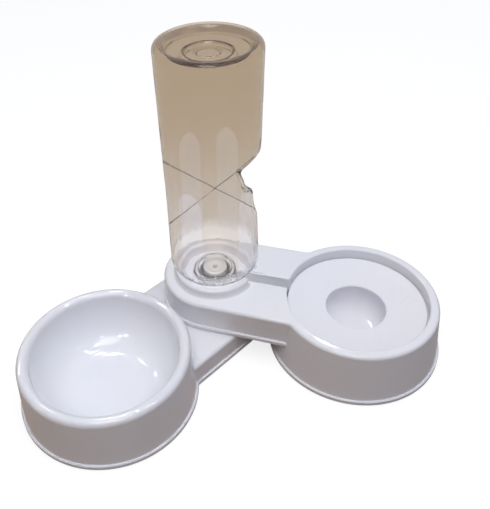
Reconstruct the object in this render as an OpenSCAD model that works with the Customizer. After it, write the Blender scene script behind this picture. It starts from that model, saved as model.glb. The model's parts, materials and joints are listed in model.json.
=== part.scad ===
// Pet food and water dispenser: two round bowls on swivelling arms, with an
// inverted water bottle standing on the pivot.
// The pivot axis is the Z axis, the floor is z = 0, and the water bowl lies along +X.

/* [Bowls and arms] */
// Distance from the pivot to the middle of either bowl
arm_length = 115; // [105:0.5:140]
// Direction of the food bowl's arm, in degrees from the water bowl's arm
food_angle = -118.5; // [-279:0.5:-81]
// Height of both rims above the floor
rim_height = 46; // [41:0.5:56]
// Thickness of the moulded walls
wall = 2.4; // [1.8:0.1:3]
// Gap under the mouldings, filled by the rubber feet
foot_stand = 0.8; // [0.5:0.1:2]

/* [Water bowl] */
// Outer radius of the water bowl's rim
water_rim_r = 61.5; // [56:0.5:66]
// Width of the flat rim around the water bowl
water_land = 7.2; // [6.6:0.1:9]
// How far the skirt leans out between rim and floor
water_draft = 4.2; // [1:0.1:5]
// Depth of the ledge that carries the splash disc, below the rim
ledge_drop = 10.4; // [8:0.1:13]
// Width of that ledge
ledge_width = 3; // [2:0.1:4]
// Height of the bowl floor above the mouldings' lower edge
water_floor = 9; // [7:0.5:13]

/* [Food bowl] */
// Outer radius of the food bowl's rim
food_rim_r = 63.5; // [58:0.5:66]
// Radius of the full round along the food bowl's rim
food_lip_r = 4.4; // [4:0.1:5.5]
// How far the food bowl's skirt leans out between rim and floor
food_draft = 2.3; // [0:0.1:4]
// Radius of the flat bottom inside the food bowl
food_floor_r = 27; // [15:0.5:35]
// Height of that bottom above the moulding's lower edge
food_floor = 4.6; // [4:0.2:10]

/* [Skirts] */
// Height of the band along the foot of every skirt
band_height = 3.2; // [2:0.1:5]
// How far that band stands out
band_out = 1.6; // [0.8:0.1:2.5]
// Radius of the rounded top edges
edge_round = 3; // [2.6:0.1:4]

/* [Upper arm] */
// Half width of the upper arm, and radius of its round end
upper_half = 42; // [38:0.5:46]
// Gap between the two arms
arm_gap = 1; // [0.6:0.1:2]
// Height of the lower arm's top face above the floor
lower_top = 20.3; // [18:0.1:23]
// Half width of the lower arm, and radius of its round end
lower_half = 45; // [40:0.5:48]
// Radius of the concave corners where an arm runs into its bowl
corner_r = 8; // [4:0.5:12]

/* [Bottle socket] */
// Height of the raised collar above the arm
collar_height = 6.5; // [4:0.1:8]
// Outer radius of the collar at its foot
collar_r = 34.4; // [32:0.1:36]
// Width of the collar at its foot
collar_width = 9.4; // [8:0.1:10]
// Half width of the collar's gap, towards the water bowl
collar_gap = 6.5; // [5.5:0.1:9]
// Room between the bottle's cap and the wall of the well that takes it
cap_play = 2; // [1.4:0.1:3.2]
// Depth of the well below the arm's top face
well_depth = 16; // [15:0.2:17]
// Height of the four ribs that the cap stands on
cap_rib = 5.5; // [4.5:0.1:8]
// Half width of the water channel
channel_half = 4.8; // [4:0.1:6]
// Depth of the water channel
channel_depth = 14; // [12:0.2:15]

/* [Pivot] */
// Outer radius of the spigot that the lower arm turns on
spigot_r = 19.6; // [19:0.1:21]
// Running clearance between spigot and bearing sleeve
pivot_play = 0.08; // [0.04:0.01:0.1]
// Thickness of the plate screwed under the spigot
plate_t = 3; // [2.5:0.1:4]
// Radius of that plate
plate_r = 26; // [24.5:0.5:29]
// Radius of the circle of the three plate screws
screw_circle = 13; // [12:0.1:13.4]

/* [Bottle] */
// Height of the bottle's base above the floor
bottle_top = 244; // [220:1:290]
// Radius of the bottle at its base
bottle_r = 36.7; // [34:0.1:38]
// Radius of the bottle just above the waist
bottle_mid_r = 35.3; // [33:0.1:37]
// Radius of the bottle below the waist
bottle_low_r = 34.9; // [32:0.1:36]
// Wall of the bottle
bottle_wall = 0.9; // [0.7:0.1:1.2]
// Height of the domed shoulder
shoulder_h = 13.5; // [12:0.5:20]
// Depth of the hollow in the bottle's base
push_up = 9; // [6:0.5:14]
// Depth of the dent in the bottle's side
dent_depth = 15.3; // [8:0.1:18]
// Direction of the dent, in degrees from the water bowl's arm
dent_angle = 13.5; // [0:0.5:60]
// Slope of the dent's valley, in degrees
dent_tilt = 34; // [20:1:45]

/* [Cap and valve] */
// Outer radius of the screw cap
cap_r = 15.2; // [14.9:0.1:16]
// Height of the screw cap
cap_h = 12.6; // [12.5:0.1:14]
// Lift of the valve off its seat while the bottle stands in the socket
valve_lift = 3; // [2:0.1:4]
// Further travel of the valve above that
valve_spare = 1.5; // [0.5:0.1:2]

/* [Hidden] */
$fn = 96;

// Small fixed sizes of the moulded details
eps = 0.01;
seat_gap = 0.05;
fuse = 0.5;
chamfer = 0.6;
small_round = 1.2;
rib_t = 1.8;
rib_lift = 4;
arc_steps = 7;
curve_steps = 14;

// Bowls: the flat inside each curve starts at the radius named here
water_floor_r = 12;
water_wall_r = water_rim_r - water_land;
ledge_z = rim_height - ledge_drop;
ledge_r = water_wall_r - ledge_width;
water_floor_z = foot_stand + water_floor;
food_floor_z = foot_stand + food_floor;
food_in_r = food_rim_r - 2 * food_lip_r;
food_curve_z = rim_height - food_lip_r;
bowl_rib_angles = [30, 90, 150, 210, 270, 330];

// Arms
upper_low = lower_top + arm_gap;
corner_sink = 0.05;
upper_rib_angles = [60, 120, 180, 240, 300];
lower_rib_angles = [60, 100, 140, 180, 220, 260, 300];
lower_rib_rows = [-14, 0, 14];

// Socket
well_r = cap_r + cap_play;
core_r = max(well_r + wall, spigot_r);
well_z = rim_height - well_depth;
channel_z = rim_height - channel_depth;
dish_z = rim_height - 1;
collar_mid = collar_r - collar_width / 2;
collar_crest = 2.2;
collar_flank = 1.8;
collar_foot = rim_height - wall + 0.4;
cap_z = well_z + cap_rib;
cap_rib_reach = 5;
post_r = 1.8;
post_fin = 3.6;
post_fin_t = 1;
post_top = cap_z - 2.6;
channel_bevel = 1;
channel_start = well_r - 2;
channel_end = arm_length - ledge_r + 2;

// Pivot
plate_low = foot_stand + 1.2;
spigot_low = plate_low + plate_t;
sleeve_in = spigot_r + pivot_play;
sleeve_out = sleeve_in + wall;
sleeve_low = spigot_low + 0.3;
flange_r = plate_r + 1;
screw_r = 1.45;
screw_head_r = 2.8;
screw_head_t = 1.8;
screw_len = 12;
screw_play = 0.15;
screw_boss_r = 3.6;
screw_angles = [90, 210, 330];
screw_slot = 0.6;
screw_sink = 0.2;
hub_foot_r = 9;
hub_recess = 0.8;

// Feet
foot_r = 5;
foot_h = 3;
foot_boss_r = foot_r + 2;
foot_boss_h = 7;
water_foot_circle = water_rim_r + water_draft - wall - foot_boss_r + 1;
food_foot_circle = food_rim_r + food_draft - wall - foot_boss_r + 1;
water_foot_angles = [60, 180, 300];
food_foot_angles = [0, 115, 245];

// Bottle and cap, measured up from the cap's closed end
cap_floor = 2;
guide_flange = 1;
gasket_t = 1.5;
mouth_z = cap_z + cap_floor + guide_flange + gasket_t;
neck_r = 12.45;
neck_in_r = 10.85;
neck_foot_r = neck_r + 1.4;
thread_r = 13.7;
thread_play = 0.15;
thread_pitch = 2.7;
thread_rows = 3;
neck_ring_r = 16.4;
neck_ring_drop = 3;
shoulder_z = cap_z + cap_h + 3.2;
body_z = shoulder_z + shoulder_h;
waist_z = 132;
waist_h = 26;
base_round = 6;
base_ring_r = bottle_r - base_round;
button_r = 7;
button_h = 1.2;

// Dent: heights of its upper end, valley, thumb ledge and lower end on the bottle's side
dent_top = 168.4;
dent_brow = 157;
dent_valley = 143.3;
dent_ledge = 129;
dent_grip = 115;
dent_flare = 106;
dent_end = 76;
// How far in from the bottle's side the ledge, its lip, the grip and the flare below it lie
ledge_depth = 0.7 * dent_depth;
lip_depth = 0.33 * dent_depth;
grip_depth = 0.3 * dent_depth;
flare_depth = 0.12 * dent_depth;

// Flutes: direction and top of each, in pairs at front and back
flutes = [[-102, 145], [-26, 145], [86, 161], [138, 159]];
flute_r = 30;
flute_depth = 2;
flute_reach = sqrt(2 * flute_r * flute_depth - flute_depth * flute_depth);
flute_low = body_z + flute_reach;

// Valve
valve_hole_r = 4.6;
stem_r = 1.9;
head_r = 7;
head_t = 1.8;
seal_t = 1.2;
guide_r = 9.6;
guide_wall = 1.3;
spring_room = 9;
guide_top = mouth_z + spring_room + valve_spare;
stem_play = 0.25;
guide_roof = 1.6;
guide_groove = 0.8;
guide_boss_r = 6;
head_low = cap_z + cap_floor + valve_lift;
head_top = head_low + seal_t + head_t;
spring_r = 3.7;
wire_r = 0.35;
spring_turns = 4;

// Splash disc
disc_play = 0.7;
disc_t = 1.8;
disc_hole_r = 23;
disc_dish = 3;

white_plastic = [0.93, 0.94, 0.97];
clear_plastic = [0.72, 0.66, 0.58, 0.45];
soft_white = [0.86, 0.87, 0.88];
grey_rubber = [0.55, 0.56, 0.58];
steel = [0.7, 0.7, 0.72];

// Points along an arc of an ellipse with half axes rx and ry
function arc(c, rx, ry, from, to, steps) =
    [for (i = [0 : steps]) let (a = from + (to - from) * i / steps) c + [rx * cos(a), ry * sin(a)]];

// Points along a quadratic curve pulled from a to b by the corner c
function curve(a, c, b, steps) =
    [for (i = [0 : steps]) let (t = i / steps) (1 - t) * (1 - t) * a + 2 * t * (1 - t) * c + t * t * b];

function reversed(points) = [for (i = [len(points) - 1 : -1 : 0]) points[i]];

function mirrored(points) = [for (i = [len(points) - 1 : -1 : 0]) [-points[i][0], points[i][1]]];

// Outside of a skirt from its foot up to the start of the rounded edge
function skirt_outside(r_low, r_top, z_low, z_top) =
    [[r_low + band_out, z_low], [r_low + band_out, z_low + band_height - chamfer],
     [r_low + band_out - chamfer, z_low + band_height], [r_low, z_low + band_height],
     [r_top, z_top]];

// Section of the food bowl: outside and inside first, then the hollow underneath
food_bowl_inside = arc([food_floor_r, food_curve_z], food_in_r - food_floor_r,
                       food_curve_z - food_floor_z, 0, -90, curve_steps);
food_bowl_under = arc([food_floor_r, food_curve_z], food_in_r - food_floor_r + wall,
                      food_curve_z - food_floor_z + wall, 0, -90, curve_steps);
food_lip_c = [food_rim_r - food_lip_r, food_curve_z];
food_outside = concat(
    skirt_outside(food_rim_r + food_draft, food_rim_r, foot_stand, food_curve_z - eps),
    arc(food_lip_c, food_lip_r, food_lip_r, 0, 180, 2 * arc_steps));
food_hollow = concat(
    [[food_rim_r + food_draft - wall, foot_stand]],
    arc(food_lip_c, food_lip_r - wall, food_lip_r - wall, 0, 180, arc_steps),
    [for (i = [1 : curve_steps]) food_bowl_under[i]]);

// Section of the water bowl, in the same two halves
water_bowl_inside = arc([water_floor_r, ledge_z], ledge_r - water_floor_r,
                        ledge_z - water_floor_z, 0, -90, curve_steps);
water_bowl_under = arc([water_floor_r, ledge_z - wall], ledge_r - water_floor_r + wall,
                       ledge_z - water_floor_z, 0, -90, curve_steps);
water_outside = concat(
    skirt_outside(water_rim_r + water_draft, water_rim_r, foot_stand, rim_height - edge_round),
    arc([water_rim_r - edge_round, rim_height - edge_round], edge_round, edge_round, 8, 90, arc_steps),
    arc([water_wall_r + small_round, rim_height - small_round], small_round, small_round, 90, 180, arc_steps),
    [[water_wall_r, ledge_z]]);
water_hollow = concat(
    [[water_rim_r + water_draft - wall, foot_stand],
     [water_rim_r - wall, rim_height - edge_round], [water_rim_r - wall - 1, rim_height - wall],
     [water_wall_r + wall, rim_height - wall], [water_wall_r + wall, ledge_z - wall]],
    water_bowl_under);

module food_section() {
    polygon(concat(food_outside, food_bowl_inside, [[0, food_floor_z], [0, food_floor_z - wall]],
                   reversed(food_hollow)));
}

module water_section() {
    polygon(concat(water_outside, water_bowl_inside, [[0, water_floor_z], [0, water_floor_z - wall]],
                   reversed(water_hollow)));
}

// Stiffening rib under a bowl, from the middle of the bowl's wall to the middle of the skirt's
module bowl_rib(inside, skirt_low_r, skirt_top_r, top_z) {
    half_wall = wall / 2;
    low_z = foot_stand + rib_lift;
    grown = [for (i = [2 : 3 : curve_steps]) inside[i] + half_wall * outward(inside, i)];
    under = [for (p = grown) if (p[1] > low_z + 1) p];
    toe = under[len(under) - 1][0] - rib_lift + 1;
    rotate([90, 0, 0]) translate([0, 0, -rib_t / 2]) linear_extrude(rib_t) polygon(concat(
        [[skirt_low_r - half_wall, low_z], [skirt_top_r - half_wall, top_z], [grown[0][0], top_z]],
        under, [[toe, low_z]]));
}

// Unit normal of a bowl's inside outline at point i, pointing into its wall
function outward(points, i) = let (
    d = points[min(i + 1, len(points) - 1)] - points[max(i - 1, 0)])
    [-d[1], d[0]] / norm(d);

// Half section of an arm: a flat top with a rounded edge and a skirt with its band
module arm_section(half, z_low, z_top) {
    outside = concat(skirt_outside(half, half, z_low, z_top - edge_round),
                     arc([half - edge_round, z_top - edge_round], edge_round, edge_round, 0, 90, arc_steps),
                     [[0, z_top], [0, z_top - wall]]);
    inner = edge_round - wall;
    inside = concat([[half - wall, z_low]],
                    arc([half - edge_round, z_top - edge_round], inner, inner, 0, 90, 2));
    polygon(concat(outside, reversed(inside)));
}

// An arm: its round end about the pivot, and the straight run towards the bowl
module arm_shell(half, z_low, z_top, run) {
    rotate([0, 0, 90]) rotate_extrude(angle = 180) arm_section(half, z_low, z_top);
    rotate([90, 0, 90]) linear_extrude(run) {
        arm_section(half, z_low, z_top);
        mirror([1, 0]) arm_section(half, z_low, z_top);
    }
}

// Concave corner where an arm's side runs into its bowl's skirt
module arm_corner(half, bowl_r, z_low, z_top) {
    side = half + corner_r;
    reach = bowl_r + corner_r - corner_sink;
    along = sqrt(reach * reach - side * side);
    turn = asin(side / reach);
    translate([arm_length - along, side, 0])
        rotate([0, 0, -90]) rotate_extrude(angle = 90 - turn)
            polygon(concat(
                [[corner_r - band_out, z_low], [corner_r - band_out, z_low + band_height - chamfer],
                 [corner_r - band_out + chamfer, z_low + band_height], [corner_r, z_low + band_height]],
                arc([corner_r + edge_round, z_top - edge_round], edge_round, edge_round, 180, 90, arc_steps),
                [[corner_r + edge_round + 1, z_top], [corner_r + edge_round + 1, z_low]]));
}

module bowl_plug(r) {
    translate([arm_length, 0, foot_stand - 1]) cylinder(r = r, h = rim_height + 2);
}

module foot_boss(bowl_r, angle) {
    rotate([0, 0, angle]) translate([bowl_r, 0, foot_stand]) cylinder(r = foot_boss_r, h = foot_boss_h);
}

module foot_pocket(bowl_r, angle) {
    rotate([0, 0, angle]) translate([bowl_r, 0, foot_stand - 1])
        cylinder(r = foot_r + seat_gap, h = foot_h - foot_stand + 1);
}

// Outline of half the collar's section, from its foot up to the middle of its crest
function collar_side() = let (
    half = collar_width / 2, flank = half - collar_flank, top = rim_height + collar_height - collar_crest)
    concat([[half, collar_foot]],
           curve([half, rim_height], [flank + chamfer, rim_height + chamfer], [flank, top], 4),
           [for (a = [15 : 15 : 90])
               [flank - collar_crest + collar_crest * cos(a), top + collar_crest * sin(a)]]);

// Raised collar: a C that stays open towards the water bowl, with round ends
module collar() {
    gap_angle = asin((collar_gap + collar_width / 2) / collar_mid);
    rotate([0, 0, gap_angle]) rotate_extrude(angle = 360 - 2 * gap_angle)
        translate([collar_mid, 0]) polygon(concat(collar_side(), mirrored(collar_side())));
    for (side = [-1, 1]) rotate([0, 0, side * gap_angle]) translate([collar_mid, 0, 0])
        rotate([0, 0, side * 90 + 90]) rotate_extrude(angle = 180)
            polygon(concat([[0, collar_foot]], collar_side(), [[0, rim_height + collar_height]]));
}

// Well for the cap, with the spigot and bearing flange below it
module socket_core() {
    rotate_extrude() polygon(concat(
        [[0, well_z], [well_r, well_z], [well_r, dish_z - small_round]],
        arc([well_r + small_round, dish_z - small_round], small_round, small_round, 180, 90, arc_steps),
        [[collar_mid, dish_z], [collar_mid, dish_z - wall], [core_r, dish_z - wall],
         [core_r, upper_low + wall], [flange_r, upper_low + wall], [flange_r, upper_low],
         [spigot_r, upper_low], [spigot_r, spigot_low + chamfer], [spigot_r - chamfer, spigot_low],
         [spigot_r - wall, spigot_low], [spigot_r - wall, well_z - wall], [0, well_z - wall]]));
}

// Four ribs under the cap, leaving the water free to pass between them
module cap_ribs() {
    for (angle = [45 : 90 : 315]) rotate([0, 0, angle])
        translate([well_r - cap_rib_reach, -rib_t / 2, well_z - fuse])
            cube([cap_rib_reach + fuse, rib_t, cap_rib + fuse]);
}

// Post that lifts the valve, a round pin on four fins
module valve_post() {
    translate([0, 0, well_z - fuse]) cylinder(r = post_r, h = post_top - well_z + fuse);
    for (angle = [0, 90]) rotate([0, 0, angle])
        translate([-post_fin, -post_fin_t / 2, well_z - fuse])
            cube([2 * post_fin, post_fin_t, post_top - well_z - post_fin_t]);
}

// Section across the water channel, widening at the top edges
module channel_cut() {
    polygon(concat(
        [[-channel_half, channel_z + channel_bevel], [-channel_half + channel_bevel, channel_z],
         [channel_half - channel_bevel, channel_z], [channel_half, channel_z + channel_bevel]],
        [[channel_half, rim_height - small_round]],
        reversed(arc([channel_half + small_round, rim_height - small_round], small_round, small_round,
                     90, 180, arc_steps)),
        [[channel_half + small_round, rim_height + 1], [-channel_half - small_round, rim_height + 1]],
        reversed(arc([-channel_half - small_round, rim_height - small_round], small_round, small_round,
                     0, 90, arc_steps))));
}

module channel_trough() {
    translate([well_r, -channel_half - wall, channel_z - wall])
        cube([channel_end - well_r - fuse, 2 * (channel_half + wall), channel_depth + fuse]);
}

module screw_bosses() {
    for (angle = screw_angles) rotate([0, 0, angle]) translate([screw_circle, 0, spigot_low])
        cylinder(r = screw_boss_r, h = well_z - wall - spigot_low + fuse);
}

module screw_holes() {
    for (angle = screw_angles) rotate([0, 0, angle]) translate([screw_circle, 0, spigot_low - 1])
        cylinder(r = screw_r + seat_gap, h = screw_len + 2);
}

// Ribs that tie the socket to the upper arm's skirt
module upper_ribs() {
    low = upper_low + band_height;
    for (angle = upper_rib_angles) rotate([0, 0, angle])
        translate([well_r + wall - fuse, -rib_t / 2, low])
            cube([upper_half - well_r - 2 * wall + 2 * fuse, rib_t, rim_height - wall - low + fuse]);
}

module water_bowl() {
    color(white_plastic) difference() {
        union() {
            translate([arm_length, 0, 0]) {
                rotate_extrude() water_section();
                for (angle = bowl_rib_angles) rotate([0, 0, angle])
                    bowl_rib(water_bowl_inside, water_rim_r + water_draft, water_rim_r, ledge_z - 2 * wall);
                for (angle = water_foot_angles) foot_boss(water_foot_circle, angle);
            }
            difference() {
                union() {
                    arm_shell(upper_half, upper_low, rim_height, arm_length);
                    for (side = [0, 1]) mirror([0, side, 0])
                        arm_corner(upper_half, water_rim_r, upper_low, rim_height);
                    channel_trough();
                }
                bowl_plug(water_wall_r + 1);
                translate([0, 0, dish_z - wall]) cylinder(r = collar_mid, h = 2 * wall);
                translate([0, 0, well_z]) cylinder(r = well_r, h = well_depth);
            }
            collar();
            socket_core();
            upper_ribs();
            screw_bosses();
            cap_ribs();
            valve_post();
        }
        translate([channel_start, 0, 0]) rotate([90, 0, 90])
            linear_extrude(channel_end - channel_start) channel_cut();
        translate([collar_mid - collar_width, -channel_half - small_round, dish_z])
            cube([2 * collar_width, 2 * (channel_half + small_round), collar_height]);
        translate([arm_length, 0, 0]) for (angle = water_foot_angles)
            foot_pocket(water_foot_circle, angle);
        screw_holes();
    }
}

// Lower arm's bearing sleeve, with the flange that the plate holds up
module bearing_sleeve() {
    rotate_extrude() polygon([
        [sleeve_in, lower_top], [sleeve_in, sleeve_low], [plate_r, sleeve_low],
        [plate_r, sleeve_low + wall], [sleeve_out, sleeve_low + wall], [sleeve_out, lower_top]]);
}

// Ribs that tie the sleeve to the lower arm's skirt and to the food bowl
module lower_ribs() {
    low = sleeve_low + chamfer;
    high = lower_top - wall - low + fuse;
    for (row = lower_rib_rows) translate([sleeve_out - fuse, row - rib_t / 2, low])
        cube([arm_length - food_rim_r - sleeve_out + wall, rib_t, high]);
    for (angle = lower_rib_angles) rotate([0, 0, angle])
        translate([sleeve_out - fuse, -rib_t / 2, low])
            cube([lower_half - sleeve_out - wall + 2 * fuse, rib_t, high]);
}

module food_bowl() {
    color(white_plastic) rotate([0, 0, food_angle]) difference() {
        union() {
            translate([arm_length, 0, 0]) {
                rotate_extrude() food_section();
                for (angle = bowl_rib_angles) rotate([0, 0, angle])
                    bowl_rib(food_bowl_inside, food_rim_r + food_draft, food_rim_r, food_curve_z - 2 * wall);
                for (angle = food_foot_angles) foot_boss(food_foot_circle, angle);
            }
            difference() {
                union() {
                    arm_shell(lower_half, foot_stand, lower_top, arm_length);
                    for (side = [0, 1]) mirror([0, side, 0])
                        arm_corner(lower_half, food_rim_r, foot_stand, lower_top);
                }
                bowl_plug(food_rim_r - wall / 2);
            }
            bearing_sleeve();
            lower_ribs();
        }
        translate([0, 0, foot_stand - 1]) cylinder(r = sleeve_in, h = lower_top + 2);
        translate([arm_length, 0, 0]) for (angle = food_foot_angles)
            foot_pocket(food_foot_circle, angle);
    }
}

// Upper or lower face of the splash disc, from its seat to the hole
function disc_face(z) = curve([ledge_r - 1, z], [(ledge_r + disc_hole_r) / 2, z - disc_dish],
                              [disc_hole_r + chamfer, z - disc_dish], 8);

// Loose disc in the water bowl: a shallow funnel with a drinking hole
module splash_disc() {
    edge_r = water_wall_r - disc_play;
    top = ledge_z + disc_t;
    color(white_plastic) translate([arm_length, 0, 0]) rotate_extrude() polygon(concat(
        [[edge_r, ledge_z], [edge_r, top - chamfer], [edge_r - chamfer, top]], disc_face(top),
        [[disc_hole_r, top - disc_dish - chamfer], [disc_hole_r, ledge_z - disc_dish + chamfer]],
        reversed(disc_face(ledge_z))));
}

// Bottle profile from the shoulder up, for the outside and, moved in by the wall, the inside
function bottle_body(inset) = let (low_r = bottle_low_r - inset) concat(
    arc([neck_foot_r, body_z], low_r - neck_foot_r, shoulder_h - inset, -90, 0, curve_steps),
    curve([low_r, waist_z - waist_h / 2], [low_r, waist_z], [bottle_mid_r - inset, waist_z + waist_h / 2], 4),
    arc([base_ring_r, bottle_top - base_round], base_round - inset, base_round - inset, 0, 90, arc_steps));

// Hollow base: a round ring, a cone, a step and a small central button
function bottle_base(inset) = let (top = bottle_top - inset, low = top - push_up) concat(
    curve([base_ring_r - 2, top], [base_ring_r - 6, top], [base_ring_r - 8, top - 0.55 * push_up], 5),
    [[base_ring_r - 13, top - 0.8 * push_up], [base_ring_r - 14, low],
     [button_r + 1, low], [button_r, low + button_h], [0, low + button_h]]);

module bottle_outside() {
    rotate_extrude() polygon(concat(
        [[0, mouth_z], [neck_r, mouth_z], [neck_r, shoulder_z - neck_ring_drop],
         [neck_ring_r, shoulder_z - neck_ring_drop + chamfer], [neck_ring_r, shoulder_z - 2 * chamfer],
         [neck_foot_r, shoulder_z - chamfer]],
        bottle_body(0), bottle_base(0)));
}

module bottle_inside() {
    rotate_extrude() polygon(concat(
        [[0, mouth_z - 1], [neck_in_r, mouth_z - 1], [neck_in_r, shoulder_z - neck_ring_drop]],
        bottle_body(bottle_wall), bottle_base(bottle_wall)));
}

// Outline of the dent, from its upper end over the valley and the thumb ledge to its lower end
function dent_side() = let (
    side = bottle_mid_r, valley = [side - dent_depth, dent_valley], ledge = [side - ledge_depth, dent_ledge],
    lip = [side - lip_depth, (dent_ledge + dent_grip) / 2], lip_top = dent_ledge - chamfer,
    upright = concat(
        curve([bottle_r, dent_top], [bottle_r - 1, dent_brow], valley, 8),
        [(valley + ledge) / 2 + [chamfer, 0], ledge],
        curve([lip[0] - 2 * small_round, lip_top], [lip[0], lip_top], lip, 3),
        [[side - grip_depth, dent_grip], [side - flare_depth, dent_flare], [bottle_low_r + fuse, dent_end]]))
    [for (p = upright) [p[0], p[1] * cos(dent_tilt)]];

module dent(grow) {
    side = dent_side();
    grown = [for (i = [0 : len(side) - 1]) side[i] - grow * outward(side, i)];
    out_x = 2 * bottle_r;
    rotate([0, 0, dent_angle]) rotate([90 - dent_tilt, 0, 0]) translate([0, 0, -3 * bottle_r])
        linear_extrude(6 * bottle_r)
            polygon(concat([[out_x, grown[0][1]]], grown, [[out_x, grown[len(grown) - 1][1]]]));
}

// A flute: a shallow upright groove with round ends
module flute(angle, top, grow) {
    centre = bottle_low_r + flute_r - flute_depth;
    run = top - flute_reach - flute_low;
    rotate([0, 0, angle]) translate([centre, 0, flute_low]) {
        cylinder(r = flute_r + grow, h = run);
        translate([0, 0, run]) sphere(r = flute_r + grow);
        sphere(r = flute_r + grow);
    }
}

module bottle_cuts(grow) {
    dent(grow);
    for (f = flutes) flute(f[0], f[1], grow);
}

module thread_beads() {
    for (row = [1 : thread_rows]) rotate_extrude()
        translate([neck_r - fuse, mouth_z + row * thread_pitch - 1]) polygon([
            [0, 0], [thread_r - neck_r + fuse, chamfer], [thread_r - neck_r + fuse, thread_pitch / 3],
            [0, thread_pitch / 2]]);
}

module bottle() {
    color(clear_plastic) difference() {
        union() {
            difference() {
                bottle_outside();
                bottle_cuts(0);
            }
            thread_beads();
        }
        difference() {
            bottle_inside();
            bottle_cuts(bottle_wall);
        }
    }
}

// Screw cap with a grip of shallow scallops and the valve's seat in its floor
module bottle_cap() {
    scallops = 24;
    scallop_r = 1;
    inner_r = thread_r + thread_play;
    color(soft_white) difference() {
        translate([0, 0, cap_z]) rotate_extrude() polygon([
            [valve_hole_r, 0], [cap_r - chamfer, 0], [cap_r, chamfer], [cap_r, cap_h], [inner_r, cap_h],
            [inner_r, cap_floor], [valve_hole_r + chamfer, cap_floor], [valve_hole_r, cap_floor - chamfer]]);
        for (i = [0 : scallops - 1]) rotate([0, 0, i * 360 / scallops])
            translate([cap_r + 0.7 * scallop_r, 0, cap_z + 2 * cap_floor]) cylinder(r = scallop_r, h = cap_h);
    }
}

module cap_gasket() {
    color(grey_rubber) translate([0, 0, mouth_z - gasket_t]) difference() {
        cylinder(r = thread_r - thread_play, h = gasket_t);
        translate([0, 0, -1]) cylinder(r = neck_in_r, h = gasket_t + 2);
    }
}

// Cage that guides the stem and carries the spring's upper end
module valve_guide() {
    low = cap_z + cap_floor;
    bore_r = guide_r - guide_wall;
    hub_r = stem_r + stem_play;
    window_h = (guide_top - low) / 2.5;
    groove_z = guide_top - guide_groove;
    color(soft_white) difference() {
        rotate_extrude() polygon([
            [bore_r, low], [thread_r - thread_play, low], [thread_r - thread_play, low + guide_flange],
            [guide_r, low + guide_flange], [guide_r, guide_top], [bore_r, guide_top], [bore_r, groove_z],
            [guide_boss_r, groove_z], [guide_boss_r, guide_top], [hub_r, guide_top],
            [hub_r, guide_top - guide_roof], [bore_r, guide_top - guide_roof]]);
        for (angle = [0 : 120 : 240]) rotate([0, 0, angle])
            rotate_extrude(angle = 80) translate([bore_r - 1, low + 2 * guide_flange + 1])
                square([guide_wall + 2, window_h]);
    }
}

// Valve stem: a pin that the post lifts, a head, and a rod through the spring
module valve_stem() {
    stem_top = guide_top + 2;
    color(soft_white) rotate_extrude() polygon([
        [0, post_top], [stem_r - chamfer, post_top], [stem_r, post_top + chamfer],
        [stem_r, head_low + seal_t], [head_r, head_low + seal_t], [head_r, head_top], [stem_r, head_top],
        [stem_r, stem_top - chamfer], [stem_r - chamfer, stem_top], [0, stem_top]]);
}

module valve_seal() {
    color(grey_rubber) translate([0, 0, head_low]) difference() {
        cylinder(r = head_r - chamfer, h = seal_t);
        translate([0, 0, -1]) cylinder(r = stem_r, h = seal_t + 2);
    }
}

// Coil spring, its wire swept along a helix
module valve_spring() {
    low = head_top + wire_r;
    rise = guide_top - guide_roof - wire_r - low;
    sides = 6;
    per_turn = 16;
    rings = spring_turns * per_turn;
    points = [for (i = [0 : rings]) let (a = i * 360 / per_turn, z = low + rise * i / rings)
        for (k = [0 : sides - 1]) let (b = k * 360 / sides, r = spring_r + wire_r * cos(b))
            [r * cos(a), r * sin(a), z + wire_r * sin(b)]];
    around = [for (i = [0 : rings - 1]) for (k = [0 : sides - 1])
        [i * sides + k, (i + 1) * sides + k, (i + 1) * sides + (k + 1) % sides, i * sides + (k + 1) % sides]];
    start = [[for (k = [0 : sides - 1]) k]];
    end = [[for (k = [sides - 1 : -1 : 0]) rings * sides + k]];
    color(steel) polyhedron(points, concat(around, start, end), convexity = 8);
}

module slip_washer() {
    color(soft_white) translate([0, 0, lower_top + seat_gap]) difference() {
        cylinder(r = flange_r - 1, h = arm_gap - seat_gap);
        translate([0, 0, -1]) cylinder(r = spigot_r + 2 * seat_gap, h = arm_gap + 2);
    }
}

// Plate that keeps the lower arm on the spigot
module swivel_plate() {
    color(white_plastic) difference() {
        translate([0, 0, plate_low]) rotate_extrude() polygon([
            [0, 0], [plate_r - chamfer, 0], [plate_r, chamfer], [plate_r, plate_t], [0, plate_t]]);
        translate([0, 0, plate_low - 1]) cylinder(r = hub_foot_r + seat_gap, h = hub_recess + 1);
        for (angle = screw_angles) rotate([0, 0, angle]) translate([screw_circle, 0, plate_low - 1]) {
            cylinder(r = screw_r + screw_play, h = plate_t + 2);
            cylinder(r = screw_head_r + screw_play, h = screw_sink + screw_head_t + 1);
        }
    }
}

// Countersunk in its plate, with a crossed slot in the head
module plate_screw(index) {
    low = plate_low + screw_sink;
    color(steel) rotate([0, 0, screw_angles[index]]) translate([screw_circle, 0, 0]) difference() {
        union() {
            translate([0, 0, low]) rotate_extrude() polygon([
                [0, 0], [screw_head_r - chamfer, 0], [screw_head_r, chamfer],
                [screw_head_r, screw_head_t], [0, screw_head_t]]);
            translate([0, 0, low + screw_head_t - eps]) cylinder(r = screw_r, h = screw_len);
        }
        for (angle = [0, 90]) rotate([0, 0, angle])
            translate([-screw_head_r + 2 * screw_slot, -screw_slot / 2, low - 1])
                cube([2 * screw_head_r - 4 * screw_slot, screw_slot, 1 + screw_head_t / 2]);
    }
}

module rubber_foot(r, top) {
    rotate_extrude() polygon([[0, 0], [r - chamfer, 0], [r, chamfer], [r, top], [0, top]]);
}

module hub_foot() {
    color(grey_rubber) rubber_foot(hub_foot_r, plate_low + hub_recess);
}

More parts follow.
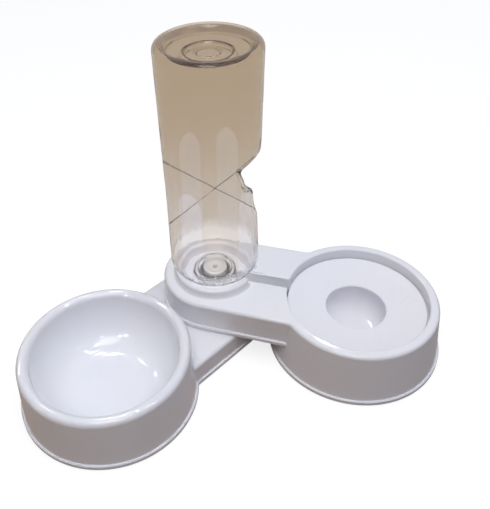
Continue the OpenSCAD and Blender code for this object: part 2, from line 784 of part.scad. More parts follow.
module water_foot(index) {
    color(grey_rubber) translate([arm_length, 0, 0]) rotate([0, 0, water_foot_angles[index]])
        translate([water_foot_circle, 0, 0]) rubber_foot(foot_r, foot_h);
}

module food_foot(index) {
    color(grey_rubber) rotate([0, 0, food_angle]) translate([arm_length, 0, 0])
        rotate([0, 0, food_foot_angles[index]]) translate([food_foot_circle, 0, 0])
            rubber_foot(foot_r, foot_h);
}

food_bowl();
water_bowl();
splash_disc();
bottle();
bottle_cap();
cap_gasket();
valve_guide();
valve_stem();
valve_seal();
valve_spring();
slip_washer();
swivel_plate();
plate_screw(0);  // plate_screw_1
plate_screw(1);  // plate_screw_2
plate_screw(2);  // plate_screw_3
hub_foot();
water_foot(0);  // water_foot_1
water_foot(1);  // water_foot_2
water_foot(2);  // water_foot_3
food_foot(0);  // food_foot_1
food_foot(1);  // food_foot_2
food_foot(2);  // food_foot_3
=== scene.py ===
"""Looks of the pet food and water dispenser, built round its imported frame.

Metres, +Z up. The pivot of the two arms is the Z axis, the floor is z = 0,
and the water bowl lies along +X.
"""

import json
import math

import bmesh
import bpy
from mathutils import Matrix, Vector
from mathutils.interpolate import poly_3d_calc

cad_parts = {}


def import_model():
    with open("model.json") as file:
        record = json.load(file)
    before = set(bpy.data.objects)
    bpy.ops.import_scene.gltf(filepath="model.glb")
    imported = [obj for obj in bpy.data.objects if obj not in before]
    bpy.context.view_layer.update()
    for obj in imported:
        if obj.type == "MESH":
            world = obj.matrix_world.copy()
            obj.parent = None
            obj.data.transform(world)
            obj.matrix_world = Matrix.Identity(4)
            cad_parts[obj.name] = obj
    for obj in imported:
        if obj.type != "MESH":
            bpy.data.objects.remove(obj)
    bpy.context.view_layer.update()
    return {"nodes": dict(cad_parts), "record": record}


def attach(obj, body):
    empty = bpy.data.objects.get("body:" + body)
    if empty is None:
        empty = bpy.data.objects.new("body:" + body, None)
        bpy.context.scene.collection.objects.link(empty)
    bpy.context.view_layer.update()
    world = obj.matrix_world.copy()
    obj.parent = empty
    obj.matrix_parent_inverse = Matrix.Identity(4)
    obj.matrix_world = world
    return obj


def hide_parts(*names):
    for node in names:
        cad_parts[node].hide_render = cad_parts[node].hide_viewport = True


# The photograph's frame and the camera that took it, worked out from the bowls and the bottle
PHOTO_W, PHOTO_H = 490, 509
CAMERA_AT = Vector((0.11564, -0.36955, 0.40355))
CAMERA_YAW, CAMERA_PITCH, CAMERA_ROLL = -18.82, 36.41, -2.70
FOCAL_PX = 636.4
CENTRE_PX = (200.0, 200.0)
SENSOR_MM = 36.0

# Colours, linear
WHITE = (0.785, 0.795, 0.835)
WHITE_WARM = (0.805, 0.80, 0.825)
SOFT_WHITE = (0.74, 0.745, 0.76)
SOFT_WHITE_WARM = (0.70, 0.71, 0.73)
SCRATCH = (0.55, 0.55, 0.56)
TAN = (0.648, 0.57, 0.472)
PALE_TAN = (0.74, 0.695, 0.65)
# Painted light: the flutes are tinted paler lavender for how light shows through them, not for a colour of
# the plastic
LAVENDER = (0.80, 0.78, 0.80)
# Painted shade: the dark edges that the bottle's base shows
BASE_SHADE = (0.26, 0.21, 0.23)
CLEAR = (0.985, 0.985, 0.995)
FOLD_SHADE = (0.22, 0.17, 0.15)
RUBBER = (0.42, 0.43, 0.45)
DUST = (0.56, 0.55, 0.53)
STEEL = (0.62, 0.62, 0.64)
STEEL_LIGHT = (0.72, 0.72, 0.73)

# Mouldings: colour, the colour that it drifts to, roughness and orange peel
GLOSSY_MOULDING = (WHITE, WHITE_WARM, 0.06, 0.5)
SOFT_MOULDING = (SOFT_WHITE, SOFT_WHITE_WARM, 0.34, 0.6)
PLASTIC_IOR, BOTTLE_IOR = 1.49, 1.36

# Shares of a lamp's light that the bottle and the thin disc let pass
BOTTLE_PASSES = (0.99, 0.99, 0.99)
DISC_PASSES = (0.72, 0.72, 0.76)

# What the eye sees of the surroundings, low and high
SEEN_LOW, SEEN_HIGH = (0.86, 0.87, 0.90), (0.97, 0.97, 0.98)
# What lights the object from round about, each on the -X and the +X side, and from overhead
HORIZON = ((0.05, 0.03, 0.012), (0.04, 0.035, 0.04))
MIDDLE = ((0.27, 0.21, 0.15), (0.24, 0.26, 0.34))
ZENITH = (0.46, 0.50, 0.60)
# The floor: its size, the light that it throws back on the -X and the +X side, and how it looks to the eye
FLOOR_SIZE = 14.0
FLOOR_BOUNCE = ((0.23, 0.125, 0.05), (0.175, 0.12, 0.085))
FLOOR_SHADE = (0.95, 0.95, 0.96)
FLOOR_GLOW, FLOOR_GLOW_SHARE = 1.1, 0.72

# The bottle's sizes in millimetres, the construction's but for a tighter rounding round the base
MM = 0.001
BOTTLE_TOP, BOTTLE_R, BOTTLE_MID_R, BOTTLE_LOW_R, BOTTLE_WALL = 244.0, 36.7, 35.3, 34.9, 0.9
MOUTH_Z, NECK_R, NECK_IN_R, NECK_RING_R, NECK_FOOT_R = 40.0, 12.45, 10.85, 16.4, 13.85
THREAD_R, THREAD_PITCH, THREAD_RINGS = 13.7, 2.7, 3
SHOULDER_Z, SHOULDER_H, BASE_ROUND, PUSH_UP = 51.3, 13.5, 4.2, 9.0
BODY_Z = SHOULDER_Z + SHOULDER_H
BASE_RING_R = BOTTLE_R - BASE_ROUND
WAIST_LOW, WAIST_BEND, WAIST_HIGH, SIDE_TOP = 119, 132, 145, 238
# Dent: its turn and tilt in degrees, how soft its edge is, its range of height, and the most slope counted
DENT_ANGLE, DENT_TILT, DENT_SOFT = 13.5, 34.0, 1.0
DENT_LOW, DENT_HIGH, DENT_MOST_SLOPE = 70, 200, 2.2
UNDENTED_R = BOTTLE_R + 3
# Flutes: each one's turn round the axis in degrees, and the height of its top
FLUTES = ((-102, 146), (-26, 146), (86, 162), (138, 160))
FLUTE_LOW, FLUTE_HALF, FLUTE_DEPTH, FLUTE_FADE, FLUTE_LEAST_R = 64.0, 10.5, 1.7, 16.0, 30
BOTTLE_STEPS, ON_AXIS = 168, 0.01
BOTTLE_SHARP_ANGLE = 50
# Where the bottle's tint starts and is full, and where its clear neck end stops, in metres above the floor
TINT_FROM, TINT_FULL, CLEAR_TO, CLEAR_END = 0.088, 0.195, 0.060, 0.080
# Half widths of a fold's line, where it is full and where it ends, in metres
FOLD_FULL, FOLD_END = 0.00008, 0.00034
# Painted shades in the base, in metres from the axis: the heel's inner and outer edge, the ring and the rim
HEEL_IN, HEEL_OUT, RING_AT, RIM_AT = 0.0265, 0.033, 0.0166, 0.0357

# Soft lamps: place in metres, watts, diameter and colour, both aimed at one point
OVERHEAD = ((0.1, 0.0, 1.7), 10.5, 1.2, (0.95, 0.97, 1.0))
FRONT = ((0.15, -0.75, 1.5), 7.5, 0.8, (1.0, 0.97, 0.95))
AIM = (0.0, -0.03, 0.0)
# Small ceiling lamps: watts, and the places in the photograph's frame where a bowl mirrors one
HIGHLIGHTS = {
    "food_bowl": (14.0, ((78.9, 348.2), (86.2, 351.7), (92.0, 352.7), (100.2, 353.5), (114.6, 354.1),
                         (142.0, 361.8), (159.9, 367.7), (155.6, 374.5), (160.0, 381.4), (165.2, 385.7),
                         (96.4, 345.2), (102.0, 337.1), (119.4, 336.0), (125.8, 335.7))),
    "water_bowl": (2.5, ((323.0, 341.5), (353.5, 349.5), (390.0, 349.0), (224.5, 313.0))),
}
# How far off each small lamp hangs and its diameter in metres, its colour, and the least that it lies upward
LAMP_AWAY, LAMP_SIZE, LAMP_COLOUR = 3.0, 0.012, (1.0, 0.98, 0.96)
LAMP_LEAST_RISE = 0.1
# Share of the white surroundings that a gloss mirrors
MIRRORED_WHITE = 0.25

# Edges sharper than this angle in degrees stay creases, and corners closer than this in metres are one
SHARP_ANGLE = 32
WELD_GAP = 0.000002

# Two fine folds in the front wall of the bottle, each seen as a straight line between two pixels
FOLD_LINES = (((164.0, 161.7), (254.7, 208.3)), ((242.7, 166.6), (170.0, 223.5)))


def camera_axes():
    """Right, up and forward directions of the camera."""
    yaw, pitch, roll = (math.radians(a) for a in (CAMERA_YAW, CAMERA_PITCH, CAMERA_ROLL))
    forward = Vector((math.sin(yaw) * math.cos(pitch), math.cos(yaw) * math.cos(pitch), -math.sin(pitch)))
    level = forward.cross(Vector((0, 0, 1))).normalized()
    upright = level.cross(forward)
    right = level * math.cos(roll) + upright * math.sin(roll)
    up = upright * math.cos(roll) - level * math.sin(roll)
    return right, up, forward


def sight(pixel):
    """Direction from the camera through a pixel of the photograph."""
    right, up, forward = camera_axes()
    across, down = pixel[0] - CENTRE_PX[0], pixel[1] - CENTRE_PX[1]
    return (forward * FOCAL_PX + right * across - up * down).normalized()


def camera():
    """The camera at the photograph's viewing angle."""
    right, up, forward = camera_axes()
    data = bpy.data.cameras.new("camera")
    data.sensor_width = SENSOR_MM
    data.lens = FOCAL_PX / PHOTO_H * SENSOR_MM
    data.shift_x = (PHOTO_W / 2 - CENTRE_PX[0]) / PHOTO_H
    data.shift_y = (CENTRE_PX[1] - PHOTO_H / 2) / PHOTO_H
    data.clip_start, data.clip_end = 0.01, 50
    eye = bpy.data.objects.new("camera", data)
    axes = Matrix((right, up, -forward)).transposed().to_4x4()
    eye.matrix_world = Matrix.Translation(CAMERA_AT) @ axes
    bpy.context.scene.collection.objects.link(eye)
    bpy.context.scene.camera = eye


class Shader:
    """A node tree under construction: a few short calls in place of many lines."""

    def __init__(self, owner):
        owner.use_nodes = True
        self.tree = owner.node_tree
        self.tree.nodes.clear()

    def node(self, kind, inputs=None, **settings):
        made = self.tree.nodes.new(kind)
        for key, value in settings.items():
            setattr(made, key, value)
        for key, value in (inputs or {}).items():
            self.feed(made.inputs[key], value)
        return made

    def feed(self, socket, value):
        if isinstance(value, bpy.types.NodeSocket):
            self.tree.links.new(value, socket)
        elif isinstance(value, tuple) and len(value) == 3 and socket.type == "RGBA":
            socket.default_value = (*value, 1)
        else:
            socket.default_value = value

    def math(self, operation, a, b=0.0, clamp=False):
        return self.node("ShaderNodeMath", {0: a, 1: b}, operation=operation, use_clamp=clamp).outputs[0]

    def mix(self, share, a, b):
        made = self.node("ShaderNodeMix", {0: share, 6: a, 7: b}, data_type="RGBA")
        return made.outputs[2]

    def span(self, value, low, high, to_low=0.0, to_high=1.0, smooth=True):
        """A value between low and high brought to a value between to_low and to_high."""
        return self.node("ShaderNodeMapRange", {0: value, 1: low, 2: high, 3: to_low, 4: to_high},
                         interpolation_type="SMOOTHSTEP" if smooth else "LINEAR").outputs[0]

    def direct(self):
        """1 for light and sight that no matt surface has passed on, 0 for the rest."""
        return self.math("LESS_THAN", self.node("ShaderNodeLightPath").outputs["Diffuse Depth"], 0.5)

    def place(self):
        """Position on the object: metres from the pivot on the floor."""
        return self.node("ShaderNodeTexCoord").outputs["Object"]

    def noise(self, where, scale, detail=2.0, roughness=0.5):
        return self.node("ShaderNodeTexNoise", {"Vector": where, "Scale": scale, "Detail": detail,
                                                "Roughness": roughness}).outputs[0]

    def along(self, where, direction):
        """How far a place lies along a direction."""
        made = self.node("ShaderNodeVectorMath", {0: where, 1: tuple(direction)}, operation="DOT_PRODUCT")
        return made.outputs["Value"]

    def stretched(self, where, turn, scale):
        """A place turned, then scaled by a factor along each axis."""
        inputs = {"Vector": where, "Rotation": turn, "Scale": scale}
        return self.node("ShaderNodeMapping", inputs).outputs[0]

    def bump(self, height, distance, strength=1.0, normal=None):
        inputs = {"Height": height, "Distance": distance, "Strength": strength}
        if normal is not None:
            inputs["Normal"] = normal
        return self.node("ShaderNodeBump", inputs).outputs[0]

    def lets_lamps_through(self, shader, tint):
        """Shows a shader, but passes the light of lamps on, tinted."""
        veil = self.node("ShaderNodeBsdfTransparent", {"Color": tint})
        lamp_ray = self.node("ShaderNodeLightPath").outputs["Is Shadow Ray"]
        both = self.node("ShaderNodeMixShader", {0: lamp_ray, 1: shader.outputs[0], 2: veil.outputs[0]})
        self.node("ShaderNodeOutputMaterial", {"Surface": both.outputs[0]})

    def surface(self, inputs):
        bsdf = self.node("ShaderNodeBsdfPrincipled", inputs)
        self.node("ShaderNodeOutputMaterial", {"Surface": bsdf.outputs[0]})


def scratches(s, where, bearing, density=260.0):
    """Hair-fine marks in one direction, from 0 on clear surface to 1 in a mark."""
    turn = (bearing, 0.4 * bearing, 1.7 * bearing)
    along = s.stretched(where, turn, (density, density * 0.06, density * 0.5))
    cells = s.node("ShaderNodeTexVoronoi", {"Vector": along, "Scale": 1.0}, feature="DISTANCE_TO_EDGE")
    line = s.span(cells.outputs[0], 0.0, 0.035, 1.0, 0.0)
    patch = s.span(s.noise(where, 34.0, 2.0), 0.52, 0.68)
    return s.math("MULTIPLY", line, patch)


def moulded_plastic(name, colour, other, roughness, peel, through=None):
    """Injection-moulded plastic: slight colour drift, orange peel, sink marks and fine scratches.

    other is the colour that it drifts to, and through the share of a lamp's light that a thin wall lets pass.
    """
    material = bpy.data.materials.new(name)
    s = Shader(material)
    where = s.place()
    drift = s.noise(where, 14.0, 3.0)
    marks = s.math("MAXIMUM", scratches(s, where, 0.6), scratches(s, where, 1.9, 330.0))
    base = s.mix(s.span(drift, 0.35, 0.65), colour, other)
    base = s.mix(s.math("MULTIPLY", marks, 0.10), base, SCRATCH)
    cloud = s.noise(where, 70.0, 3.0)
    rough = s.math("ADD", s.span(cloud, 0.3, 0.7, roughness * 0.7, roughness * 1.5, smooth=False),
                   s.math("MULTIPLY", marks, 0.06))
    sink = s.bump(s.noise(where, 38.0, 1.0), 0.0001, 0.3)
    grain = s.bump(s.noise(where, 420.0, 2.0), 0.000006, peel, sink)
    lines = s.bump(marks, 0.000006, 0.4, grain)
    inputs = {"Base Color": base, "Roughness": rough, "IOR": PLASTIC_IOR, "Normal": lines}
    if through is None:
        s.surface(inputs)
    else:
        s.lets_lamps_through(s.node("ShaderNodeBsdfPrincipled", inputs), through)
    return material


def rubber(name):
    """Matt grey rubber with a fine grain and a little dust."""
    material = bpy.data.materials.new(name)
    s = Shader(material)
    where = s.place()
    dust = s.span(s.noise(where, 160.0, 4.0), 0.45, 0.7)
    base = s.mix(s.math("MULTIPLY", dust, 0.5), RUBBER, DUST)
    rough = s.span(s.noise(where, 90.0), 0.3, 0.7, 0.62, 0.8, smooth=False)
    normal = s.bump(s.noise(where, 1400.0, 3.0), 0.00008, 0.6)
    s.surface({"Base Color": base, "Roughness": rough, "Normal": normal})
    return material


def steel(name):
    """Drawn steel with fine streaks."""
    material = bpy.data.materials.new(name)
    s = Shader(material)
    where = s.place()
    drawn = s.noise(s.stretched(where, (0.0, 0.0, 0.0), (1600.0, 1600.0, 200.0)), 1.0, 2.0)
    base = s.mix(s.span(drawn, 0.3, 0.7), STEEL, STEEL_LIGHT)
    rough = s.span(drawn, 0.3, 0.7, 0.24, 0.36, smooth=False)
    normal = s.bump(drawn, 0.00002, 0.3)
    s.surface({"Base Color": base, "Metallic": 1.0, "Roughness": rough, "Normal": normal})
    return material


def front_side():
    """Level direction from the bottle's axis towards the camera's place."""
    return Vector((CAMERA_AT.x, CAMERA_AT.y, 0.0)).normalized()


def crease(s, where, pixels):
    """A hair-fine fold in the bottle's front wall, in the plane that holds the line of sight: the mask both
    for the fold's bump and for the shade painted along it.
    """
    normal = sight(pixels[0]).cross(sight(pixels[1])).normalized()
    offset = normal.dot(CAMERA_AT)
    reach = s.along(where, normal)
    wander = s.math("MULTIPLY", s.math("SUBTRACT", s.noise(where, 90.0, 2.0), 0.5), 0.0008)
    away = s.math("ABSOLUTE", s.math("ADD", s.math("SUBTRACT", reach, offset), wander))
    line = s.span(away, FOLD_FULL, FOLD_END, 1.0, 0.0)
    facing = s.along(where, front_side())
    broken = s.span(s.noise(where, 210.0, 1.0), 0.34, 0.44, 0.3, 1.0)
    return s.math("MULTIPLY", s.math("MULTIPLY", line, s.span(facing, 0.0, 0.004)), broken)


def flute_mask(s, where, height, turn, top):
    """1 on a moulded flute of the bottle with its rounded top, 0 beside it."""
    angle = math.radians(turn)
    half = 0.9 * FLUTE_HALF * MM
    across = s.along(where, (-math.sin(angle) / half, math.cos(angle) / half, 0.0))
    past = s.math("SUBTRACT", height, (top - FLUTE_FADE) * MM)
    above = s.math("MAXIMUM", s.math("DIVIDE", past, FLUTE_FADE * MM), 0.0)
    reach = s.math("ADD", s.math("POWER", s.math("ABSOLUTE", across), 2.0), s.math("POWER", above, 2.0))
    inside = s.span(reach, 0.75, 1.1, 1.0, 0.0)
    outward = s.span(s.along(where, (math.cos(angle), math.sin(angle), 0.0)), 0.0, 0.01)
    return s.math("MULTIPLY", s.math("MULTIPLY", inside, outward), s.span(height, 0.060, 0.070))


def painted_base_shade(s, where, height):
    """1 where shade is painted into the bottle's base for its dark edges: in the heel on the front side, and
    at the ring and the rim on the rear side.
    """
    level = s.stretched(where, (0.0, 0.0, 0.0), (1.0, 1.0, 0.0))
    away = s.node("ShaderNodeVectorMath", {0: level}, operation="LENGTH").outputs["Value"]
    outside = s.span(away, HEEL_IN - 0.001, HEEL_IN + 0.001)
    inside = s.span(away, HEEL_OUT - 0.0005, HEEL_OUT + 0.0005, 1.0, 0.0)
    heel = s.math("MULTIPLY", outside, inside)
    front = s.span(s.along(where, front_side()), -0.004, 0.014)
    uneven = s.span(s.noise(where, 60.0, 2.0), 0.3, 0.6, 0.55, 1.0)
    ring = s.span(s.math("ABSOLUTE", s.math("SUBTRACT", away, RING_AT)), 0.0004, 0.0013, 0.8, 0.0)
    rim = s.math("MULTIPLY", s.span(away, RIM_AT - 0.0005, RIM_AT + 0.0005), 0.6)
    rear = s.math("MULTIPLY", s.math("MAXIMUM", ring, rim), s.math("SUBTRACT", 1.0, front))
    high = s.span(height, (BOTTLE_TOP - 9.5) * MM, (BOTTLE_TOP - 7.5) * MM)
    dark = s.math("MAXIMUM", s.math("MULTIPLY", heel, front), rear)
    return s.math("MULTIPLY", dark, s.math("MULTIPLY", high, uneven))


def clear_bottle(name):
    """Blown clear plastic tinted tan above, paler lower down, with a clearer neck end.

    The light that other surfaces gather through it isn't tinted.
    """
    material = bpy.data.materials.new(name)
    s = Shader(material)
    where = s.place()
    height = s.node("ShaderNodeSeparateXYZ", {0: where}).outputs["Z"]
    cloud = s.math("MULTIPLY", s.math("SUBTRACT", s.noise(where, 26.0, 3.0), 0.5), 0.03)
    level = s.math("ADD", height, cloud)
    tint = s.mix(s.span(level, TINT_FROM, TINT_FULL), PALE_TAN, TAN)
    tint = s.mix(s.span(level, CLEAR_TO, CLEAR_END), CLEAR, tint)
    # Painted light: each flute is tinted paler lavender for how light shows through it, not for a colour of
    # the plastic
    for turn, top in FLUTES:
        tint = s.mix(s.math("MULTIPLY", flute_mask(s, where, height, turn, top), 0.55), tint, LAVENDER)
    # Painted shade in the base, for the dark edges that it shows
    tint = s.mix(painted_base_shade(s, where, height), tint, BASE_SHADE)
    fold = s.math("MAXIMUM", *(crease(s, where, pixels) for pixels in FOLD_LINES))
    # Painted shade: each fold's line is darkened, on the front side only; the fold's dent itself is the bump
    # further down
    tint = s.mix(s.math("MULTIPLY", fold, 0.8), tint, FOLD_SHADE)
    tint = s.mix(s.direct(), BOTTLE_PASSES, tint)
    shoulder = s.math("MULTIPLY", s.span(height, 0.052, 0.056), s.span(height, 0.066, 0.074, 1.0, 0.0))
    beads = s.node("ShaderNodeTexVoronoi", {"Vector": where, "Scale": 520.0}, feature="SMOOTH_F1")
    ripple = s.bump(s.noise(where, 30.0, 2.0), 0.0006, 0.3)
    fine = s.bump(s.noise(where, 240.0, 2.0), 0.00003, 0.25, ripple)
    dimple = s.bump(s.math("MULTIPLY", beads.outputs[0], shoulder), 0.0006, 0.6, fine)
    scar = s.bump(fold, 0.0003, 0.6, dimple)
    rough = s.span(s.noise(where, 120.0, 3.0), 0.4, 0.75, 0.008, 0.03, smooth=False)
    glass = s.node("ShaderNodeBsdfPrincipled", {"Base Color": tint, "Roughness": rough, "IOR": BOTTLE_IOR,
                                                "Transmission Weight": 1.0, "Normal": scar})
    s.lets_lamps_through(glass, BOTTLE_PASSES)
    return material


def curve(start, control, end, steps):
    """Points of a curve from start to end that leans towards control."""
    out = []
    for i in range(steps + 1):
        t = i / steps
        out.append(tuple((1 - t) ** 2 * a + 2 * t * (1 - t) * b + t * t * c
                         for a, b, c in zip(start, control, end)))
    return out


def quarter(centre, across, up, first, last, steps):
    """Points of an ellipse's arc between two angles in degrees."""
    angles = (math.radians(first + (last - first) * i / steps) for i in range(steps + 1))
    return [(centre[0] + across * math.cos(a), centre[1] + up * math.sin(a)) for a in angles]


def straight(start, end, steps):
    """Points on the straight line between start and end, without the two."""
    return [tuple(a + (b - a) * i / steps for a, b in zip(start, end)) for i in range(1, steps)]


def dent_outline():
    """Side view of the dent in the bottle: distance from the axis against height, top to bottom."""
    return (curve((BOTTLE_R, 168.4), (BOTTLE_R - 1, 157), (20.0, 143.3), 10)
            + [(22.9, 136.1), (24.6, 129.2)]
            + curve((27.8, 128.4), (30.25, 128.4), (30.25, 122), 4)
            + [(30.7, 115), (33.5, 106), (BOTTLE_LOW_R + 0.6, 76)])


def dent_limit(level, outline):
    """How far out the dent lets the wall reach at a height: past the wall where there is no dent."""
    for (x0, z0), (x1, z1) in zip(outline, outline[1:]):
        if z1 <= level <= z0:
            return x0 + (x1 - x0) * (z0 - level) / max(z0 - z1, 1e-6)
    return UNDENTED_R


def bottle_profile(inset):
    """Radius and height from the shoulder up to the middle of the base, moved in by the wall."""
    low, mid, high = BOTTLE_LOW_R - inset, BOTTLE_MID_R - inset, BOTTLE_R - inset
    top, rounding = BOTTLE_TOP - inset, BASE_ROUND - inset
    recess = top - PUSH_UP
    return (quarter((NECK_FOOT_R, BODY_Z), low - NECK_FOOT_R, SHOULDER_H - inset, -90, 0, 20)
            + straight((low, BODY_Z), (low, WAIST_LOW), 42)
            + curve((low, WAIST_LOW), (low, WAIST_BEND), (mid, WAIST_HIGH), 10)
            + straight((mid, WAIST_HIGH), (high, SIDE_TOP), 70)
            + quarter((BASE_RING_R, BOTTLE_TOP - BASE_ROUND), rounding, rounding, 0, 90, 12)
            + curve((BASE_RING_R - 0.6, top), (BASE_RING_R - 3, top), (BASE_RING_R - 5, top - 5.4), 10)
            + curve((20.5, top - 6.4), (18.6, top - 7.4), (18.0, top - 7.0), 4)
            + curve((16.6, top - 6.4), (15.4, top - 7.2), (14.6, recess), 5)
            + [(12.0, recess), (8.2, recess)]
            + curve((7.6, recess + 0.3), (7.2, recess + 1.2), (5.8, recess + 1.2), 4)
            + [(3.0, recess + 1.25), (0.0, recess + 1.25)])


def shaped(radius, height, azimuth, inset, outline):
    """A point of the bottle's wall after the flutes and the dent have pressed it in."""
    for turn, top in FLUTES:
        apart = (azimuth - math.radians(turn) + math.pi) % (2 * math.pi) - math.pi
        across = abs(apart * BOTTLE_LOW_R / FLUTE_HALF)
        ends = min(height - FLUTE_LOW, top - height) / FLUTE_FADE
        if across < 1 and ends > 0 and radius > FLUTE_LEAST_R:
            end = 1 - (1 - min(ends, 1.0)) ** 2
            radius -= FLUTE_DEPTH * math.cos(across * math.pi / 2) ** 2 * end
    turned = azimuth - math.radians(DENT_ANGLE)
    out, across = radius * math.cos(turned), radius * math.sin(turned)
    tilt = math.radians(DENT_TILT)
    level = height + across * math.tan(tilt)
    if DENT_LOW < height < DENT_HIGH and out > 0:
        limit = dent_limit(level, outline)
        if inset:
            change = dent_limit(level + 0.5, outline) - dent_limit(level - 0.5, outline)
            slope = abs(change) / math.cos(tilt)
            limit -= inset * min(math.hypot(1, slope), DENT_MOST_SLOPE)
        out = 0.5 * (out + limit - math.hypot(out - limit, DENT_SOFT))
    azimuth = math.radians(DENT_ANGLE)
    return (out * math.cos(azimuth) - across * math.sin(azimuth),
            out * math.sin(azimuth) + across * math.cos(azimuth), height)


def neck_profile():
    """Radius and height of the neck's outside, from the mouth past its rings to the shoulder."""
    neck = [(NECK_R, MOUTH_Z)]
    for row in range(1, THREAD_RINGS + 1):
        low = MOUTH_Z + row * THREAD_PITCH - 1
        neck += [(NECK_R, low), (THREAD_R, low + 0.6), (THREAD_R, low + 0.9), (NECK_R, low + 1.35)]
    return neck + [(NECK_R, SHOULDER_Z - 3), (NECK_RING_R, SHOULDER_Z - 2.4), (NECK_RING_R, SHOULDER_Z - 1.2),
                   (NECK_FOOT_R, SHOULDER_Z - 0.6)]


def blown_bottle(material):
    """The bottle as one smooth blown shell, with the construction's neck, flutes and dent."""
    neck_inside = [(NECK_IN_R, MOUTH_Z), (NECK_IN_R, SHOULDER_Z - 3)]
    outer = [(r, z, 0.0) for r, z in neck_profile() + bottle_profile(0.0)]
    inner = [(r, z, BOTTLE_WALL) for r, z in neck_inside + bottle_profile(BOTTLE_WALL)]
    outline = dent_outline()
    mesh = bmesh.new()
    walls = []
    for profile in (outer, inner):
        rings = []
        for radius, height, inset in profile:
            if radius < ON_AXIS:
                rings.append([mesh.verts.new((0, 0, height * MM))] * BOTTLE_STEPS)
                continue
            points = (shaped(radius, height, 2 * math.pi * i / BOTTLE_STEPS, inset, outline)
                      for i in range(BOTTLE_STEPS))
            rings.append([mesh.verts.new([c * MM for c in point]) for point in points])
        walls.append(rings)
    strips = [(a, b) for rings in (walls[0], [*reversed(walls[1])]) for a, b in zip(rings, rings[1:])]
    strips.append((walls[1][0], walls[0][0]))
    for a, b in strips:
        for i in range(BOTTLE_STEPS):
            j = (i + 1) % BOTTLE_STEPS
            corners = list(dict.fromkeys((a[i], a[j], b[j], b[i])))
            mesh.faces.new(corners)
    bmesh.ops.recalc_face_normals(mesh, faces=mesh.faces)
    data = bpy.data.meshes.new("blown_bottle")
    mesh.to_mesh(data)
    mesh.free()
    for face in data.polygons:
        face.use_smooth = True
    data.set_sharp_from_angle(angle=math.radians(BOTTLE_SHARP_ANGLE))
    piece = bpy.data.objects.new("blown_bottle", data)
    bpy.context.scene.collection.objects.link(piece)
    data.materials.append(material)
    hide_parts("bottle")
    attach(piece, "water_base")


def weighted_normals(data):
    """Smooth corner normals in which large faces count for more, so that flat faces stay flat."""
    if "custom_normal" in data.attributes:
        data.attributes.remove(data.attributes["custom_normal"])
    flats = [(face.normal.copy(), face.area) for face in data.polygons]
    around = [[] for _ in data.vertices]
    for face in data.polygons:
        face.use_smooth = True
        for corner in face.vertices:
            around[corner].append(face.index)
    limit = math.cos(math.radians(SHARP_ANGLE))
    normals = []
    for face in data.polygons:
        own = flats[face.index][0]
        for corner in face.vertices:
            total = Vector()
            for other in around[corner]:
                normal, area = flats[other]
                if own.dot(normal) > limit:
                    total += normal * area
            normals.append(total.normalized())
    data.normals_split_custom_set(normals)


def even_surface(node, body, material):
    """A copy of a white moulding whose faces share their corners, so that it shades as one smooth surface."""
    data = frame["nodes"][node].data.copy()
    data.name = f"smooth_{node}"
    mesh = bmesh.new()
    mesh.from_mesh(data)
    bmesh.ops.remove_doubles(mesh, verts=mesh.verts, dist=WELD_GAP)
    mesh.to_mesh(data)
    mesh.free()
    weighted_normals(data)
    piece = bpy.data.objects.new(f"smooth_{node}", data)
    bpy.context.scene.collection.objects.link(piece)
    data.materials.clear()
    data.materials.append(material)
    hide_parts(node)
    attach(piece, body)
    return piece


def paint(node, material):
    """Gives a carried-over solid its material."""
    mesh = frame["nodes"][node].data
    mesh.materials.clear()
    mesh.materials.append(material)


def smooth_edges():
    """Rounded shading on the carried-over solids, with creases kept at real edges."""
    for obj in frame["nodes"].values():
        for face in obj.data.polygons:
            face.use_smooth = True
        obj.data.set_sharp_from_angle(angle=math.radians(SHARP_ANGLE))


def lamp(name, where, aim, energy, size, colour=(1.0, 1.0, 1.0)):
    """A round lamp at a place, turned to the point that it is aimed at."""
    data = bpy.data.lights.new(name, "AREA")
    data.shape, data.size, data.energy, data.color = "DISK", size, energy, colour
    obj = bpy.data.objects.new(name, data)
    obj.location = where
    obj.rotation_mode = "QUATERNION"
    obj.rotation_quaternion = (Vector(aim) - Vector(where)).to_track_quat("-Z", "Y")
    bpy.context.scene.collection.objects.link(obj)
    return obj


def mirrored(obj, pixel):
    """Where a pixel's line of sight meets a piece, and the direction in which the surface mirrors it."""
    ray = sight(pixel)
    hit, place, _, index = obj.ray_cast(CAMERA_AT, ray)
    if not hit:
        return None
    face = obj.data.polygons[index]
    shares = poly_3d_calc([obj.data.vertices[i].co for i in face.vertices], place)
    normal = Vector()
    for loop, share in zip(face.loop_indices, shares):
        normal += obj.data.corner_normals[loop].vector * share
    return place, ray.reflect(normal.normalized())


def first_light_only(data):
    """Keeps a small lamp's light off what a surface gathers from others, where it would only add specks."""
    s = Shader(data)
    glow = s.node("ShaderNodeEmission", {"Color": LAMP_COLOUR, "Strength": s.direct()})
    s.node("ShaderNodeOutputLight", {"Surface": glow.outputs[0]})


def lights(bowls):
    """Two large soft lamps, and far small ones that each bowl mirrors as a sparkle."""
    where, watts, size, colour = OVERHEAD
    lamp("overhead", where, AIM, watts, size, colour).visible_glossy = False
    where, watts, size, colour = FRONT
    lamp("front", where, AIM, watts, size, colour)
    for node, (watts, pixels) in HIGHLIGHTS.items():
        lit = bpy.data.collections.new(f"lit_{node}")
        lit.objects.link(bowls[node])
        for count, pixel in enumerate(pixels):
            found = mirrored(bowls[node], pixel)
            if found and found[1].z > LAMP_LEAST_RISE:
                place, away = found
                spark = lamp(f"ceiling_{node}_{count}", place + away * LAMP_AWAY, place, watts, LAMP_SIZE)
                spark.visible_diffuse = False
                spark.light_linking.receiver_collection = lit
                first_light_only(spark.data)


def seen_ray(s):
    """1 for rays by which the eye sees straight on or through glass, a little for mirrored ones."""
    path = s.node("ShaderNodeLightPath").outputs
    straight = s.math("ADD", path["Is Camera Ray"], path["Is Transmission Ray"], True)
    shown = s.math("ADD", straight, s.math("MULTIPLY", path["Is Glossy Ray"], MIRRORED_WHITE), True)
    return s.math("MULTIPLY", shown, s.direct())


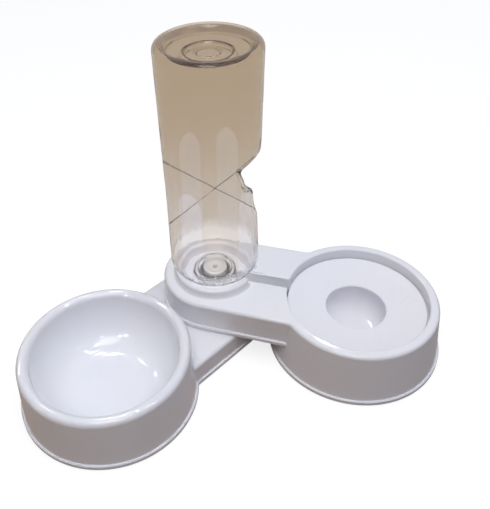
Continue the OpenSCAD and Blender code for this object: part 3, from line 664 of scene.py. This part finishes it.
def world():
    """Pale surroundings for the eye and for glass, and a darker horizon for diffuse light."""
    made = bpy.data.worlds.new("studio")
    bpy.context.scene.world = made
    s = Shader(made)
    toward = s.node("ShaderNodeSeparateXYZ", {0: s.node("ShaderNodeTexCoord").outputs["Generated"]}).outputs
    height = toward["Z"]
    side = s.span(toward["X"], -0.6, 0.7)
    seen = seen_ray(s)
    shown = s.mix(s.span(height, -0.05, 0.5), SEEN_LOW, SEEN_HIGH)
    low = s.mix(s.span(height, 0.0, 0.5), s.mix(side, *HORIZON), s.mix(side, *MIDDLE))
    soft = s.mix(s.span(height, 0.45, 0.9), low, ZENITH)
    back = s.node("ShaderNodeBackground", {"Color": s.mix(seen, soft, shown), "Strength": 1.0})
    s.node("ShaderNodeOutputWorld", {"Surface": back.outputs[0]})


def floor():
    """A plain floor, white to the eye with the object's shadow on it, that throws back a warm grey."""
    bpy.ops.mesh.primitive_plane_add(size=FLOOR_SIZE, location=(0, 0, 0))
    plane = bpy.context.object
    plane.name = "floor"
    material = bpy.data.materials.new("floor")
    s = Shader(material)
    seen = seen_ray(s)
    across = s.node("ShaderNodeSeparateXYZ", {0: s.place()}).outputs["X"]
    bounce = s.node("ShaderNodeBsdfDiffuse", {"Color": s.mix(s.span(across, -0.2, 0.3), *FLOOR_BOUNCE)})
    shade = s.node("ShaderNodeBsdfDiffuse", {"Color": FLOOR_SHADE})
    glow = s.node("ShaderNodeEmission", {"Color": (1.0, 1.0, 1.0), "Strength": FLOOR_GLOW})
    shown = s.node("ShaderNodeMixShader", {0: FLOOR_GLOW_SHARE, 1: shade.outputs[0], 2: glow.outputs[0]})
    out = s.node("ShaderNodeMixShader", {0: seen, 1: bounce.outputs[0], 2: shown.outputs[0]})
    s.node("ShaderNodeOutputMaterial", {"Surface": out.outputs[0]})
    plane.data.materials.append(material)


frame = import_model()

camera()
white = moulded_plastic("white_plastic", *GLOSSY_MOULDING)
by_slot = {
    "white_plastic": white,
    "soft_white": moulded_plastic("soft_white", *SOFT_MOULDING),
    "clear_plastic": clear_bottle("clear_plastic"),
    "grey_rubber": rubber("grey_rubber"),
    "spring_steel": steel("spring_steel"),
}
disc_white = moulded_plastic("white_disc", *GLOSSY_MOULDING, DISC_PASSES)
for part in frame["record"]["subparts"]:
    paint(part["node"], by_slot[part["material_slot"]])
smooth_edges()
blown_bottle(by_slot["clear_plastic"])
bowls = {
    "food_bowl": even_surface("food_bowl", "food_base", white),
    "water_bowl": even_surface("water_bowl", "water_base", white),
}
even_surface("splash_disc", "water_base", disc_white)
bpy.context.view_layer.update()
floor()
world()
lights(bowls)

bpy.context.scene.view_settings.view_transform = "Standard"
